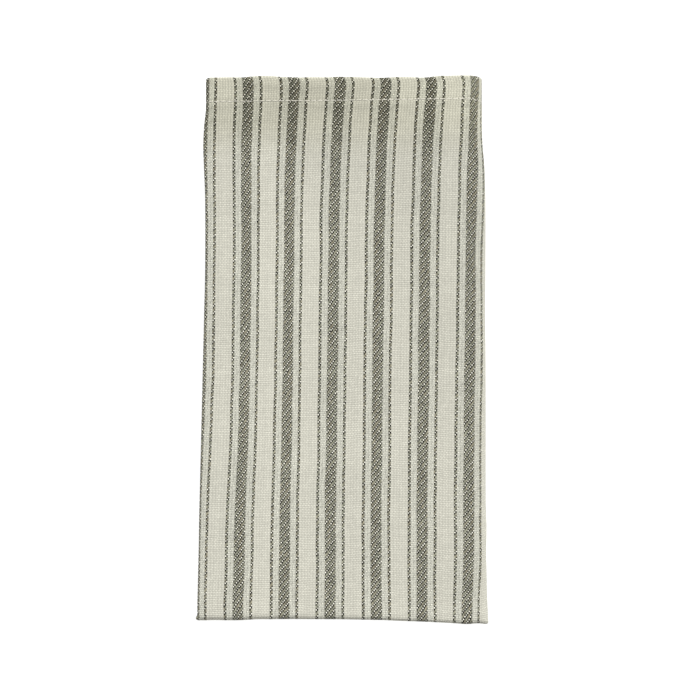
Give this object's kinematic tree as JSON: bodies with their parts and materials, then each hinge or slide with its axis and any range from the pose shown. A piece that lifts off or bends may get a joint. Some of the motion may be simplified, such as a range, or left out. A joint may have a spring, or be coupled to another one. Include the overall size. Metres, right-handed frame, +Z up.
{
  "type": "cloth napkin",
  "caption": "Striped cotton cloth napkin with turned hems, folded lengthwise and then in half, lying flat.",
  "frame": {"origin": "centre of the folded napkin's box, on the surface that it lies on", "axes": "+Z up from the surface, +Y along the napkin's length towards its hemmed end, +X across its face to the right"},
  "size_m": [0.1221, 0.2297, 0.0169],
  "materials": {
    "cotton": "woven cotton, dry and matt, cream with grey-olive stripes"
  },
  "bodies": {
    "root": {"napkin": "cotton"}
  },
  "joints": []
}
